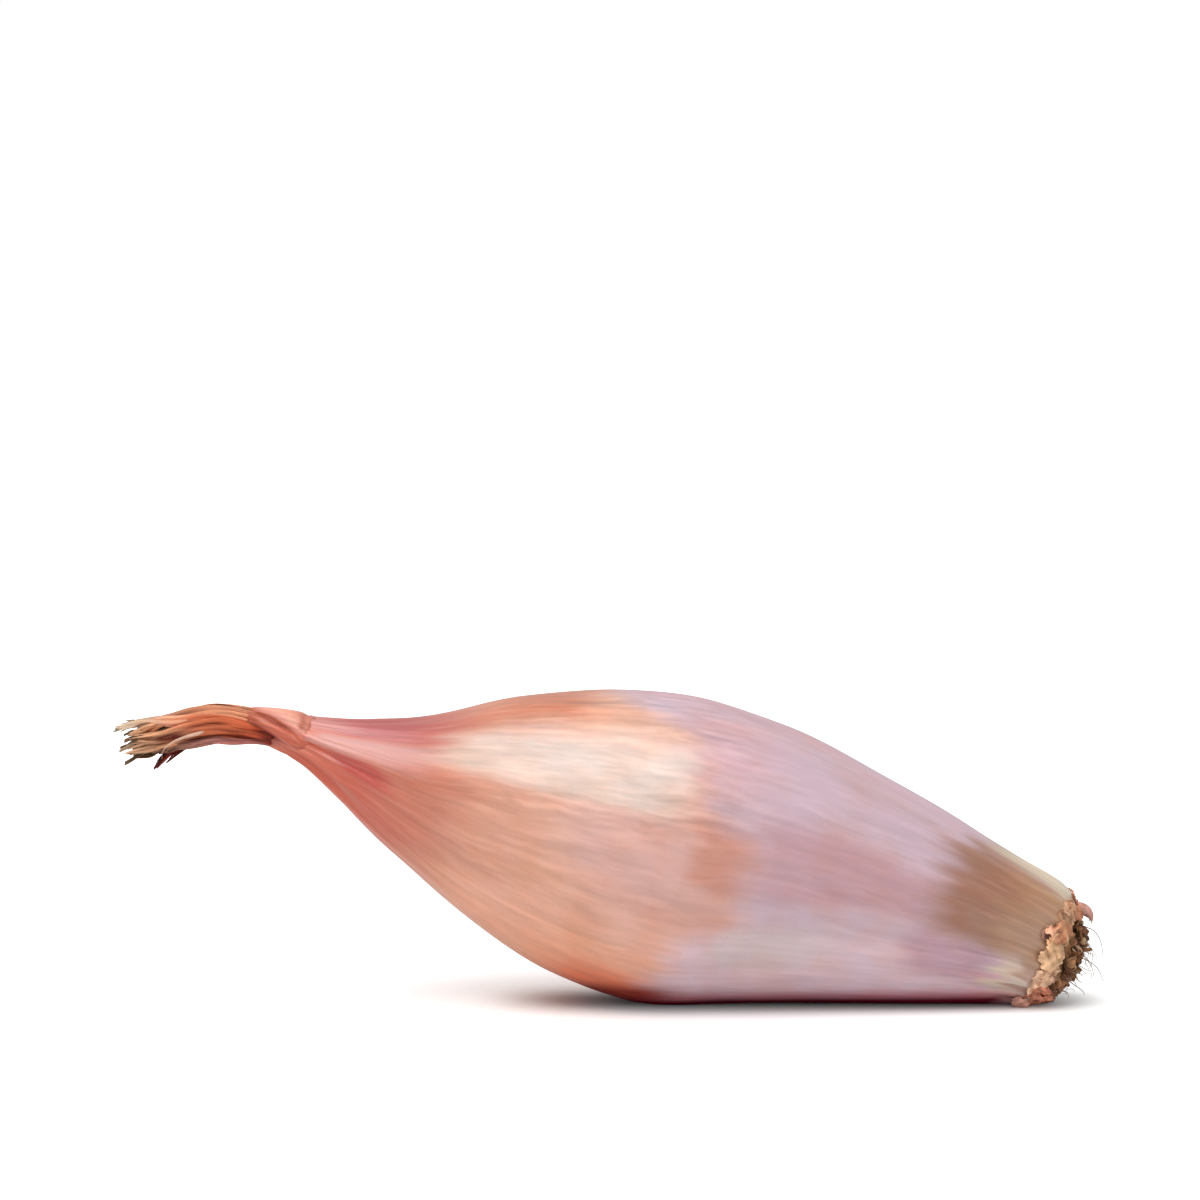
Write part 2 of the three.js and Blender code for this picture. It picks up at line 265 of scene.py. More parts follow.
def added(name, data):
    """A new object in the scene."""
    made = bpy.data.objects.new(name, data)
    bpy.context.scene.collection.objects.link(made)
    return made


def piece(name, points, faces, values, look, node):
    """A mesh from points in millimetres, which rides on the part and stands for its CAD node."""
    mesh = bpy.data.meshes.new(name)
    faces = outward(points, faces)
    mesh.from_pydata((lifted(points, 0) * MM).tolist(), [], faces)
    for key, value in values.items():
        value = np.asarray(value, np.float32)
        kind = "FLOAT" if value.ndim == 1 else "FLOAT_VECTOR"
        field = "value" if value.ndim == 1 else "vector"
        mesh.attributes.new(key, kind, "POINT").data.foreach_set(field, value.ravel())
    mesh.shade_smooth()
    mesh.materials.append(look)
    made = added(name, mesh)
    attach(made, "root")
    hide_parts(node)
    return made


# ---- Material nodes ----


def colour(code):
    """A written colour such as "d9a28a" as the linear colour that a shader takes."""
    channels = [int(code[k : k + 2], 16) / 255 for k in (0, 2, 4)]
    return [c / 12.92 if c <= 0.04045 else ((c + 0.055) / 1.055) ** 2.4 for c in channels] + [1]


def wired(tree, kind, inputs, output=0, **settings):
    """The output socket of a new node, whose inputs are set to values or linked to sockets."""
    made = tree.nodes.new("ShaderNode" + kind)
    for key, value in settings.items():
        setattr(made, key, value)
    for key, value in inputs.items():
        if isinstance(value, bpy.types.NodeSocket):
            tree.links.new(value, made.inputs[key])
        else:
            made.inputs[key].default_value = value
    return made.outputs[output]


class Look:
    """A material whose nodes are added by short calls. Each call returns its output socket."""

    def __init__(self, name, **constants):
        self.material = bpy.data.materials.new(name)
        self.material["slot"] = name
        self.material.use_nodes = True
        self.tree = self.material.node_tree
        self.shader = self.tree.nodes["Principled BSDF"]
        for key, value in constants.items():
            self.shader.inputs[key.replace("_", " ")].default_value = value

    def node(self, kind, inputs, output=0, **settings):
        return wired(self.tree, kind, inputs, output, **settings)

    def attribute(self, name, output="Fac"):
        return self.node("Attribute", {}, output, attribute_name=name)

    def math(self, operation, a, b=0, c=0):
        return self.node("Math", {0: a, 1: b, 2: c}, operation=operation)

    def vector(self, operation, a, b=(0, 0, 0), output=0):
        return self.node("VectorMath", {0: a, 1: b}, output, operation=operation)

    def scaled(self, vector, x, y, z):
        return self.vector("MULTIPLY", vector, (x, y, z))

    def noise(self, vector, scale=1, detail=2, roughness=0.5, output=0):
        inputs = {"Vector": vector, "Scale": scale, "Detail": detail, "Roughness": roughness}
        return self.node("TexNoise", inputs, output)

    def span(self, value, low, high, to_low=0, to_high=1):
        """The value from low to high, brought smoothly between two others."""
        inputs = {"Value": value, 1: low, 2: high, 3: to_low, 4: to_high}
        return self.node("MapRange", inputs, interpolation_type="SMOOTHSTEP")

    def mix(self, share, a, b, blend="MIX"):
        inputs = {0: share, 6: a, 7: b}
        return self.node("Mix", inputs, 2, data_type="RGBA", blend_type=blend)

    def toned(self, share, base, code):
        """A colour brought by a share towards its product with a written one."""
        return self.mix(share, base, self.mix(1, base, colour(code), "MULTIPLY"))

    def varied(self, number, noise, amount):
        """A number plus how far a noise is from its middle, times the amount."""
        return self.math("MULTIPLY_ADD", self.math("SUBTRACT", noise, 0.5), amount, number)

    def lit_tint(self, light):
        """The tint that comes with the mesh, times a number."""
        inputs = {0: self.attribute("tint", "Color"), "Scale": light}
        return self.node("VectorMath", inputs, operation="SCALE")

    def bumped(self, height, distance, strength):
        return self.node("Bump", {"Height": height, "Distance": distance, "Strength": strength})

    def finish(self, **links):
        for key, value in links.items():
            self.tree.links.new(value, self.shader.inputs[key.replace("_", " ")])
        return self.material


# ---- Materials ----

SKIN_ROUGHNESS = 0.35
VEINS = 96  # round the bulb, as its skin has at this size


def skin_look(slot):
    """Papery skin: its tint comes with the mesh, and fine soft streaks run along it."""
    look = Look(slot, Coat_Roughness=0.3)
    grain = look.attribute("grain", "Vector")  # cosine and sine of the angle, and millimetres along
    lively = look.attribute("lively")

    bend = look.noise(look.scaled(grain, 3.5, 3.5, 0.11), output="Color")
    bend = look.vector("SUBTRACT", bend, (0.5, 0.5, 0.5))
    wavy = look.vector("ADD", look.scaled(bend, 0.11, 0.11, 0), grain)
    cloud = look.noise(look.scaled(grain, 2.5, 2.5, 0.16), detail=4, roughness=0.6)
    streak = look.noise(look.scaled(wavy, 8, 8, 0.06), detail=3, roughness=0.6)
    dash = look.noise(look.scaled(wavy, 18, 18, 0.14), detail=3)
    speck = look.noise(look.scaled(grain, 30, 30, 1.6))

    split = look.tree.nodes.new("ShaderNodeSeparateXYZ")
    look.tree.links.new(wavy, split.inputs[0])
    angle = look.math("ARCTAN2", split.outputs[1], split.outputs[0])
    vein = look.math("SINE", look.math("MULTIPLY", angle, VEINS))

    # Lighter and darker streaks, stronger where the skin is lively
    light = look.varied(look.math("SUBTRACT", dash, 0.5), streak, 1.1)
    light = look.math("MULTIPLY_ADD", vein, 0.035, light)
    light = look.math("MULTIPLY_ADD", light, look.math("MULTIPLY", lively, 0.5), 1)
    base = look.lit_tint(light)
    red = look.math("MULTIPLY", look.span(streak, 0.48, 0.75, 0, 0.15), lively)
    base = look.toned(red, base, "f2d6cc")
    pale = look.math("MULTIPLY", look.span(dash, 0.5, 0.75, 0, 0.18), lively)
    base = look.mix(pale, base, look.mix(0.3, base, colour("f2dccb")))
    base = look.toned(look.span(cloud, 0.35, 0.7), base, "fff3e8")
    base = look.mix(look.span(speck, 0.6, 0.8, 0, 0.12), base, colour("b07a66"))

    height = look.math("MULTIPLY_ADD", vein, 0.12, dash)
    height = look.math("MULTIPLY_ADD", speck, 0.25, height)
    rough = look.span(dash, 0.3, 0.7, SKIN_ROUGHNESS - 0.05, SKIN_ROUGHNESS + 0.08)
    shine = look.attribute("shine")
    return look.finish(
        Base_Color=base,
        Roughness=rough,
        Specular_IOR_Level=look.math("MULTIPLY", shine, 0.6),
        Coat_Weight=look.math("MULTIPLY", shine, 0.3),
        Normal=look.bumped(height, 0.00006, 0.6),
    )


def leaf_look(slot):
    """Dry leaf: its tint and its painted shade come with the mesh, with fine fibres and dark creases along
    it.
    """
    look = Look(slot, Roughness=0.66, Specular_IOR_Level=0.3)
    grain = look.attribute("grain", "Vector")  # share along, share across, and one number a strip
    fibre = look.noise(look.scaled(grain, 2.4, 34, 7), detail=4, roughness=0.7)
    blotch = look.noise(look.scaled(grain, 6, 4, 7), detail=3)
    base = look.lit_tint(look.varied(look.varied(1, blotch, 0.8), fibre, 1))
    base = look.toned(look.span(fibre, 0.52, 0.7, 0, 0.8), base, "a86450")
    # Painted shade from the mesh: in crumples, under the collar and in openings between leaves, with some
    # random tone
    base = look.toned(look.attribute("shade"), base, "7a3c2c")
    height = look.math("MULTIPLY_ADD", blotch, 0.5, fibre)
    return look.finish(Base_Color=base, Normal=look.bumped(height, 0.0002, 0.8))


def crumb_look(slot, roughness, relief):
    """Dry crumbly stuff: each bit brings its own tint."""
    look = Look(slot, Roughness=roughness, Specular_IOR_Level=0.25)
    place = look.node("TexCoord", {}, "Object")
    grit = look.noise(place, 900, detail=3, roughness=0.65)
    blotch = look.noise(place, 260)
    base = look.lit_tint(look.varied(1, blotch, 0.9))
    base = look.toned(look.span(grit, 0.48, 0.72, 0, 0.85), base, "a8806a")
    return look.finish(Base_Color=base, Normal=look.bumped(grit, relief, 0.8))


SKIN = skin_look("skin")
PALE_LEAF = skin_look("pale_leaf")
DRY_LEAF = leaf_look("dry_leaf")
CORK = crumb_look("cork", 0.9, 0.0002)
FLAKE = crumb_look("dry_flake", 0.75, 0.00012)
FIBRE = crumb_look("root_fibre", 0.85, 0.00005)


def levels(code):
    """A written colour as three linear numbers."""
    return np.array(colour(code)[:3])


def tint_between(stops, value):
    """The tint at each value, between stops of a value and a colour."""
    places, codes = zip(*stops)
    tints = np.array([levels(code) for code in codes])
    return np.stack([np.interp(value, places, tints[:, k]) for k in range(3)], -1)


# ---- Bulb ----

SKIN_ROWS = 236
SKIN_COLUMNS = 400

# Flat-sided growth: the angles of its soft ridges, in degrees, and how flat the skin is between them
RIDGES = [20, 58, 93, 128, 168, 205, 243, 297, 340]
RIDGE_FLATNESS = 0.34
RIDGE_ROUNDING = [-7, -3.5, 0, 3.5, 7]

# The outer skin's torn edge: angle in degrees and distance along X, all the way round
TORN_EDGE = [
    (-180, 7), (-140, 1), (-110, -5), (-64, -4.5), (-50, -3.5), (-34, -2.5),
    (-22, 0), (-12, 4), (14, 5.5), (22, 2), (32, -2), (52, -4.5),
    (68, -13), (95, -16), (120, -3), (150, 9), (180, 7),
]

# The outer skin's tint from neck to belly
OUTER_TINTS = [
    (-57.4, "9a3a24"), (-56.2, "b4523a"), (-55, "cf7258"), (-50, "c8624a"), (-44, "be5a46"),
    (-38, "c26f57"), (-30, "ce9078"), (-18, "d6a28c"), (-7, "cf9b8f"), (10, "cfa298"),
]
INNER_TINT = "c2a7b3"

# Patches: tint, amount, and where each begins, is full, starts to fade and has gone, along X (millimetres)
# and round the bulb (degrees)
OUTER_PATCHES = [
    ("e4a07c", 0.85, (-42, -22, 20, 30), (-160, -130, -52, -24)),
    ("ebbba8", 0.38, (-16, -9, 8, 14), (-60, -48, -26, -14)),
    ("eeb29a", 0.5, (-34, -27, -20, -12), (-66, -52, -36, -24)),
    ("e0683a", 0.8, (-20, -12, 4, 12), (-122, -108, -64, -47)),
    ("bc6e4c", 0.9, (-37, -27, -20, -9), (52, 70, 110, 134)),
    # Partly paler skin and partly painted highlight, in the band above the cream one
    ("e0b49e", 0.55, (-23, -15, -6, -1), (46, 56, 74, 86)),
    ("a84c50", 0.8, (-54, -49.5, -44, -33), (28, 44, 112, 146)),
    ("c2807c", 0.85, (-64, -58, -53, -47), (30, 46, 104, 124)),
    # Partly painted highlight: the pale ridge along the neck
    ("c48a82", 0.9, (-54, -50, -42, -33), (2, 9, 26, 38)),
    # Partly a paler band of skin and partly painted highlight: the cream band on the upper front
    ("d0bbb1", 0.9, (-41, -32, -8, 0), (12, 24, 40, 58)),
    ("ac3a34", 0.8, (-48.5, -46, -43, -39), (-12, -6, 2, 7)),
    ("cda098", 0.75, (-24, -12, -2, 3), (-20, -6, 16, 24)),
    ("c07f6b", 0.85, (-3, 1, 12, 20), (-6, 3, 18, 27)),
    ("b8705a", 0.6, (-43, -40, -35, -29), (-12, -4, 5, 11)),
    ("c44c26", 0.75, (-56, -52, -43, -31), (-110, -84, -38, -14)),
    ("b85d4c", 0.6, (-40, -24, -8, 6), (146, 168, 196, 214)),
    ("dcae9a", 0.6, (-34, -20, 0, 10), (204, 218, 232, 246)),
]
INNER_PATCHES = [
    ("b88d95", 0.85, (3, 9, 28, 35), (-8, 3, 17, 31)),
    ("d9bfca", 0.9, (-14, -2, 34, 44), (-80, -50, -27, -11)),
    ("c9b8b4", 0.6, (0, 5, 12, 22), (-44, -32, -20, -8)),
    ("cba2aa", 0.6, (-8, -2, 3, 10), (24, 34, 60, 80)),
    ("b48a99", 0.8, (26, 31, 37, 42), (-42, -30, -12, -2)),
    ("c79aa4", 0.7, (-16, -8, 10, 20), (68, 80, 108, 126)),
    ("c8a5b4", 0.7, (12, 20, 30, 36), (60, 70, 96, 120)),
    ("b9828c", 0.7, (-2, 12, 26, 38), (150, 165, 190, 208)),
]
ROOT_PATCHES = [
    ("94664e", 0.95, (26.5, 34, 39, 44), (-14, 3, 50, 62)),
    ("96684e", 0.85, (30, 35, 39, 44), (42, 52, 64, 76)),
    ("a67f60", 0.9, (36.5, 41.5, 60, 70), (-16, 2, 60, 70)),
    ("a98562", 0.7, (42, 44.5, 60, 70), (20, 32, 62, 72)),
    ("d0c2ae", 0.8, (38.5, 42, 43.5, 46), (-100, -60, -18, 2)),
    ("a8866a", 0.75, (43, 45, 60, 70), (-66, -48, 0, 14)),
    ("b59d81", 0.9, (33, 39, 60, 70), (62, 74, 130, 150)),
    ("c8b498", 0.85, (41.5, 44, 60, 70), (54, 64, 130, 150)),
    ("dccdb6", 0.8, (35, 43, 60, 70), (61, 76, 90, 124)),
    ("a98468", 0.8, (30, 36, 50, 60), (150, 170, 200, 220)),
    ("c4ad8e", 0.8, (38, 44, 60, 70), (216, 226, 250, 262)),
]
# Painted shade on the lowest skin: deep brown under the belly, rose along the side, which is partly the
# skin's own red, and a maroon painted contact shadow on the strip that it lies on. Tint, amount, place along
# X as for a patch, the heights between which it fades, the shine it takes
PAINTED_LOW_SHADE = [
    ("6e1e10", 0.95, (-21, -14, -3, 3), (1.3, 3.6), 0.7),
    ("80200c", 1, (-15, -10, -5, 3), (2.5, 5), 0.85),
    ("b4586e", 0.85, (-6, 3, 42, 47), (1.5, 3.6), 0),
    ("701028", 1, (-18, -10, 42, 47), (1, 1.9), 1),
]

# Folds at the neck: angle in degrees, half its width in degrees, depth as a share of the radius
NECK_FOLDS = [
    (2, 5.5, -0.15), (18, 10, 0.1), (44, 8, -0.04), (60, 8, 0.05), (78, 6, -0.07), (98, 9, 0.06),
    (122, 7, -0.09), (146, 10, 0.07), (172, 7, -0.12), (198, 10, 0.08), (224, 7, -0.1), (250, 9, 0.07),
    (276, 7, -0.09), (300, 8, 0.06), (318, 6, -0.08), (334, 7, 0.06), (349, 5, -0.06), (358, 5, 0.04),
]
FOLD_TWIST = 0.35  # radians over the bulb's length
FOLD_LENGTH = 0.34  # share of the bulb's length

SHOULDER_BULGE = 0.8
BELLY_BULGE = 0.8


def flat_sides(angle):
    """A share of the radius, 1 on a ridge and less between ridges, as on a polygon with round corners."""
    ridges = np.radians(np.array(RIDGES + [RIDGES[0] + 360], float))
    total = 0
    for offset in RIDGE_ROUNDING:
        turn = (angle + radians(offset) - ridges[0]) % (2 * pi) + ridges[0]
        side = np.clip(np.searchsorted(ridges, turn, side="right") - 1, 0, len(RIDGES) - 1)
        middle = (ridges[side] + ridges[side + 1]) / 2
        half = (ridges[side + 1] - ridges[side]) / 2
        total += np.cos(half) / np.cos(turn - middle)
    return total / len(RIDGE_ROUNDING)


def shoulder_bulge(angle):
    """How far the skin stands out above the root plate, in millimetres. It is fuller on top."""
    return SHOULDER_BULGE * bump_at(angle, 80, 42)


def belly_bulge(share, angle):
    """How far the belly hangs down where it comes to the floor on the neck's side, in millimetres."""
    return BELLY_BULGE * hill(share, 0.34, 0.46, 0.53, 0.62) * bump_at(angle, -85, 52)


def skin_relief(share, angle):
    """The skin's radius as a share of the smooth bulb's, with its ridges, folds, ribs and pleats."""
    ridged = RIDGE_FLATNESS * (1 - 0.75 * smoothstep(share, 0.42, 0.66)) * smoothstep(share, 0.02, 0.2)
    relief = 1 + ridged * (flat_sides(angle + 0.035 * ripples(2, 22 * share, angle, 1, 2)) - 1)
    fade = (1 - smoothstep(share, 0, FOLD_LENGTH)) ** 1.5
    swirl = angle + FOLD_TWIST * (share - 0.1) - 0.05 * ripples(3, 25 * share, angle, 1, 3)
    for middle, half, depth in NECK_FOLDS:
        relief += depth * fade * bump_at(swirl, middle, half)
    creases = ripples(5, 34 * share, swirl, 0.6, 30, 40)
    relief += 0.015 * (1 - smoothstep(share, 0, 0.4)) ** 1.3 * np.minimum(creases, 0.5)
    relief += 0.0009 * ripples(7, 70 * share, angle, 1, 34, 50)
    relief += 0.004 * ripples(8, 14 * share, angle, 1, 4)
    pleats = ripples(11, 10 * share, angle, 0.5, 30, 30)
    relief += 0.016 * smoothstep(share, 0.84, 1) ** 2 * pleats
    return relief


def skin_rings():
    """Rings of the skin's points, how far along X each point's paint lies, and the points' angles."""
    share = np.linspace(0, 1, SKIN_ROWS)[:, None]
    angle = circle(SKIN_COLUMNS)[None, :]
    radius = catmull(BULB_STATIONS, share)[..., 2] * skin_relief(share, angle)
    radius = radius + shoulder_bulge(angle) * smoothstep(share, 0.84, 0.99) + belly_bulge(share, angle)
    rings = around(BULB_STATIONS, share, radius, angle)
    ragged = 0.35 * ripples(12, 0 * angle, angle, 0, 12, 24)

    def end_ring(end, step, scale):
        """The ring at end 0 or 1, moved along the spine and narrowed."""
        ring = around(BULB_STATIONS, np.array([[float(end)]]), radius[-end] * scale, angle)
        forward = direction(BULB_STATIONS, np.array([float(end)]))[0]
        return ring + np.array([forward[0], 0, forward[1]]) * np.broadcast_to(step, angle.shape)[..., None]

    # The neck runs on as a torn sheath round the leaves, and the root end turns in under its rim. Each
    # ring: how far it lies past the end, and its share of the end's radius.
    torn = 2.3 + ragged
    neck = [(1.4, 0.6), (torn, 0.82), (torn, 0.93), (1.6 + 0.5 * ragged, 0.96), (0.8, 0.99)]
    roll = 0.8 * shoulder_bulge(angle)
    root = [(0.5 + 0.6 * roll, 0.975), (0.9 + roll, 0.91), (RIM_STEP + roll, 0.8), (0.8, 0.6)]
    before = [end_ring(0, -step, scale) for step, scale in neck]
    after = [end_ring(1, step, scale) for step, scale in root]
    rings = lifted(np.vstack([*before, rings, *after]), 0)
    x = np.repeat(catmull(BULB_STATIONS, share)[..., 0], SKIN_COLUMNS, 1)
    x = np.vstack([*(x[:1] - step for step, _ in neck), x, np.repeat(x[-1:], len(root), 0)])
    return rings, x, angle[0]


def painted(tint, patches, x, degrees):
    """A tint with patches laid over it."""
    for code, amount, lengths, angles in patches:
        first = angles[0]
        share = hill(x, *lengths) * hill((degrees - first) % 360, *(angle - first for angle in angles))
        tint = lerp(tint, levels(code), amount * share[:, None])
    return tint


def skin_tint(x, angle, height):
    """The skin's tint. Noise bends the patches' edges and frays them into streaks along the skin."""
    degrees = np.degrees(turned(angle))
    fray = ripples(51, 0.45 * x, angle, 1, 40, 60)
    wide = ripples(52, 0.16 * x, angle, 1, 5, 20)
    bent_x = x + 0.9 * wide + 0.5 * fray
    bent_degrees = degrees + 2.4 * ripples(53, 0.2 * x, angle, 1, 5, 20)
    outer = painted(tint_between(OUTER_TINTS, bent_x), OUTER_PATCHES, bent_x, bent_degrees)
    inner = painted(levels(INNER_TINT), INNER_PATCHES, bent_x, bent_degrees)
    edge_angles, edge_x = zip(*TORN_EDGE)
    bare = bent_x - np.interp(bent_degrees, edge_angles, edge_x)
    tint = lerp(outer, inner, smoothstep(bare, -3.6, 3.6)[:, None])
    tint = painted(tint, ROOT_PATCHES, x + 0.7 * wide + 0.9 * fray, bent_degrees)
    shine = np.ones(len(x))
    # Painted shade and contact shadow near the floor, which also dull the skin's shine
    for code, amount, lengths, heights, dull in PAINTED_LOW_SHADE:
        amount = amount * hill(x + 0.5 * wide, *lengths) * (1 - smoothstep(height, *heights))
        tint = lerp(tint, levels(code), amount[:, None])
        shine = shine * (1 - dull * amount)
    return tint, shine


def bulb_skin():
    rings, x, angles = skin_rings()
    points, faces = loft(rings)
    x = np.append(x.ravel(), [x[0, 0], x[-1, 0]])
    angle = np.append(np.tile(angles, len(rings)), [0, 0])
    tint, shine = skin_tint(x, angle, points[:, 2])
    degrees = np.degrees(turned(angle))
    lively = 0.6 + 0.3 * (1 - smoothstep(x, -10, 6)) + 0.15 * (1 - smoothstep(x, -50, -30))
    lively += 0.5 * smoothstep(x, 30, 42)
    lively += 0.6 * hill(x, -36, -26, 0, 8) * hill(degrees, 6, 18, 80, 110)
    grain = np.stack([np.cos(angle), np.sin(angle), x], -1)
    values = {"grain": grain, "tint": tint, "shine": shine, "lively": lively}
    return piece("bulb_skin", points, faces, values, SKIN, "bulb")


# ---- Dry leaves and collar ----

# Each dry leaf: its place round the line and half its width (degrees), its length as a share of the line,
# how far its tip splays out and droops, how dark it is, how far out it lies, and its tints along it
Leaf = namedtuple("Leaf", "node at half length splay droop shade out tints")
LEAVES = [
    Leaf("dry_leaf_top", 52, 50, 1, 0.5, -1.6, 0, 0, [
        (0, "a04c34"), (0.15, "b8664a"), (0.3, "d8926e"), (0.5, "d08862"), (0.62, "dc9e7e"),
        (0.78, "e2bfa2"), (1, "ccbfa8"),
    ]),
    Leaf("dry_leaf_front", -26, 47, 1, 0.5, -0.9, 0, 0, [
        (0, "a02408"), (0.12, "a83818"), (0.3, "c4603a"), (0.5, "c86e48"), (0.7, "d69a72"), (1, "cdac8a"),
    ]),
    Leaf("dry_leaf_under", -84, 28, 0.82, 0.5, -0.3, 0, 0.35, [
        (0, "b85c50"), (0.2, "be7068"), (0.4, "c07e74"), (0.7, "a87860"), (1, "8a6c50"),
    ]),
    Leaf("dry_leaf_drooping", -132, 36, 0.8, 1.6, 4.4, 0.3, 0, [
        (0, "7a2c18"), (0.4, "7c2410"), (0.75, "862c14"), (1, "5c2412"),
    ]),
    Leaf("dry_leaf_back", 150, 50, 0.94, 0.6, -1.7, 0.1, 0, [
        (0, "a04424"), (0.4, "b05c38"), (0.7, "ac7854"), (1, "93805e"),
    ]),
]
LEAF_ROWS = 90
STRIPS = 5
STRIP_COLUMNS = 14
LEAF_THICKNESS = 0.16
# Near the collar the bundle is gathered in
GATHERED, GATHERED_AT, GATHERED_OVER = 0.2, 0.08, 0.2
# Painted shade in openings between the leaves: place along the line, as for a patch, then in degrees the
# opening's middle at its two ends and half its width, and how dark it is
GAP_SHADES = [
    ((0.54, 0.61, 0.7, 0.78), (-22, -16), 16, 0.8),
    ((0.46, 0.54, 0.72, 0.84), (-4, 4), 5, 0.6),
    ((0.06, 0.14, 0.5, 0.62), (-42, -38), 6, 0.5),
]


def bundle_radius(along):
    gathered = 1 - GATHERED * bump(along, GATHERED_AT, GATHERED_OVER)
    return BUNDLE_RADIUS * gathered * (1 - BUNDLE_TAPER * along)


def gap_shade(along, angle):
    """How much painted shade a spot on the leaves takes for lying in an opening between them."""
    degrees = np.degrees(turned(angle))
    dark = 0
    for place, angles, half, amount in GAP_SHADES:
        middle = np.interp(along, (place[0], place[-1]), angles)
        dark += amount * hill(along, *place) * bump(degrees, middle, half)
    return dark


def leaf_strip(random, leaf, number):
    """One torn strip of a leaf. It lies in the leaf near the neck, and leaves it towards the tip."""
    share, across = grid(LEAF_ROWS, STRIP_COLUMNS)
    seed = int(random.integers(10000))
    length = leaf.length * random.uniform(0.84, 1)
    torn = 0.035 * smoothstep(share, 0.6, 1) * (1 + ripples(seed + 4, 0 * share, 4 * across, 0, 4, 10))
    along = np.minimum(share * length * (1 - torn), 1)
    parting = smoothstep(along, random.uniform(0.34, 0.55), 1)
    middle = radians(leaf.at) + LEAF_TWIST * along
    place = (2 * (number + 0.5) / STRIPS - 1) * radians(leaf.half) * (1 - 0.35 * share**3)
    half = radians(leaf.half) / STRIPS * (1.35 - 0.1 * parting)
    half = half * (1 - 0.15 * smoothstep(share, 0.75, 1))
    half = half * (1 + 0.15 * waves(seed, 14 * share))
    wander = parting * random.uniform(-0.25, 0.25) + 0.05 * waves(seed + 1, 12 * share)
    angle = middle + place + wander + half * across
    ridge = 0.14 * np.cos(pi * across * random.uniform(0.6, 1.4) + random.uniform(-1, 1))
    crumple = 0.16 * ripples(seed + 2, 24 * share, 2.5 * across, 1, 1, 20)
    step = random.uniform(-0.12, 0.1)
    free = smoothstep(along, 0.12, 0.35)
    radius = bundle_radius(along) + step * (0.3 + 0.7 * free) + leaf.out * free
    radius = radius + (ridge + crumple) * (0.35 + 0.35 * free + 0.8 * parting)
    radius = radius - 0.25 * parting * across**2
    splay = leaf.splay * random.uniform(-0.6, 1)
    droop = leaf.droop + random.uniform(-0.4, 1)
    sway = 0.5 * parting * waves(seed + 3, 14 * share)

    def face(depth):
        points = around(LEAF_LINE, along, radius - depth, angle)
        centre = around(LEAF_LINE, along, 0 * along, middle)
        points = points + around(LEAF_LINE, along, splay * parting, middle + place) - centre
        points[..., 2] += sway - droop * parting**2
        return points

    points, faces = sheet(face(0), face(LEAF_THICKNESS * (1 - 0.4 * share)))
    # Painted shade: darker in sunken crumples and folds, under the collar and in openings between leaves,
    # with each leaf's own darkness and some random tone
    shade = leaf.shade + random.uniform(-0.15, 0.2) - 1.6 * (ridge + crumple)
    shade += 0.75 * bump(along, 0.04, 0.12) + gap_shade(along, angle)
    tint = tint_between(leaf.tints, both_faces(along)) * random.uniform(0.8, 1.2)
    place = np.broadcast_arrays(along, (number + 0.5 + 0.5 * across) / STRIPS, seed % 17)
    grain = both_faces(np.stack(place, -1))
    return points, faces, {"grain": grain, "tint": tint, "shade": np.clip(both_faces(shade), 0, 1)}


def ribbon(path, half, tilt, code, shade, number):
    """A narrow strip of dry leaf along a path. Tilt is the angle of its width from the vertical."""
    share, across = grid(len(path), 5)
    side = np.stack([0 * tilt, np.sin(tilt), np.cos(tilt)], -1)
    up = np.stack([0 * tilt, -np.cos(tilt), np.sin(tilt)], -1)
    arch = 0.25 * half * (1 - across**2)
    middle = path[:, None] + (half * across)[..., None] * side + arch[..., None] * up
    points, faces = sheet(middle, middle - 0.12 * up)
    grain = np.stack(np.broadcast_arrays(share, 0.5 + 0.12 * across, number), -1)
    return points, faces, {"grain": both_faces(grain), "tint": levels(code), "shade": shade}


def loose_strand():
    """The pale strand that leaves the front of the bundle and curls down."""
    stations = [(-66.2, -2, 37), (-67.8, -2.7, 36.5), (-69.6, -3.1, 36), (-71.2, -3.2, 35.3),
                (-72.3, -3, 34.3), (-72.6, -2.6, 33.1)]
    share = np.linspace(0, 1, 40)
    half = (0.27 * (1 - 0.35 * share) * smoothstep(share, 0, 0.15) + 0.04)[:, None]
    return ribbon(catmull(stations, share), half, (0.5 + 1.1 * share)[:, None], "dcb49c", 0, 5)


def dry_leaf(seed, leaf):
    random = np.random.default_rng(seed)
    strips = [leaf_strip(random, leaf, number) for number in range(STRIPS)]
    if leaf.node == "dry_leaf_front":
        strips.append(loose_strand())
    return piece(leaf.node + "_paper", *joined(strips), DRY_LEAF, leaf.node)


STRANDS = 26
STRAND_ROWS = 30
STRAND_TINTS = ["6a3824", "8c5a3c", "a07c58", "b09874", "c4a888", "8a7454"]


def core_strands():
    """Thin torn strips inside the bundle, which fray out at its end."""
    random = np.random.default_rng(41)
    share = np.linspace(0, 1, STRAND_ROWS)
    bodies = []
    for _ in range(STRANDS):
        along = lerp(random.uniform(0, 0.5), random.uniform(0.74, 0.98), share)
        angle = random.uniform(-pi, pi)
        out = random.uniform(0.4, 1.6)
        half = random.uniform(0.35, 0.9) * (1 - 0.5 * share**3)
        sway = 0.5 * waves(random.integers(1000), 12 * share) * share
        path = around(LEAF_LINE, along, out * (1 + 0.3 * share) + sway, angle + 0.6 * share)
        path[:, 2] -= random.uniform(-1.8, 0.9) * smoothstep(share, 0.35, 1) ** 2
        tilt = angle + random.uniform(-1.5, 1.5) * share
        tint, shade = random.choice(STRAND_TINTS), random.uniform(0, 0.5)
        bodies.append(ribbon(path, half[:, None], tilt[:, None], tint, shade, random.uniform(0, 9)))
    return piece("dry_leaf_strands", *joined(bodies), DRY_LEAF, "dry_leaf_core")


# The collar ends in a slanting edge: how far along its line that lies at the side, and how much further it
# would lie on top, where the collar's end cuts it off.
COLLAR_SLANT = (0.7, 0.74)
COLLAR_END = 0.97
COLLAR_SIDES = (-26, 100)  # degrees
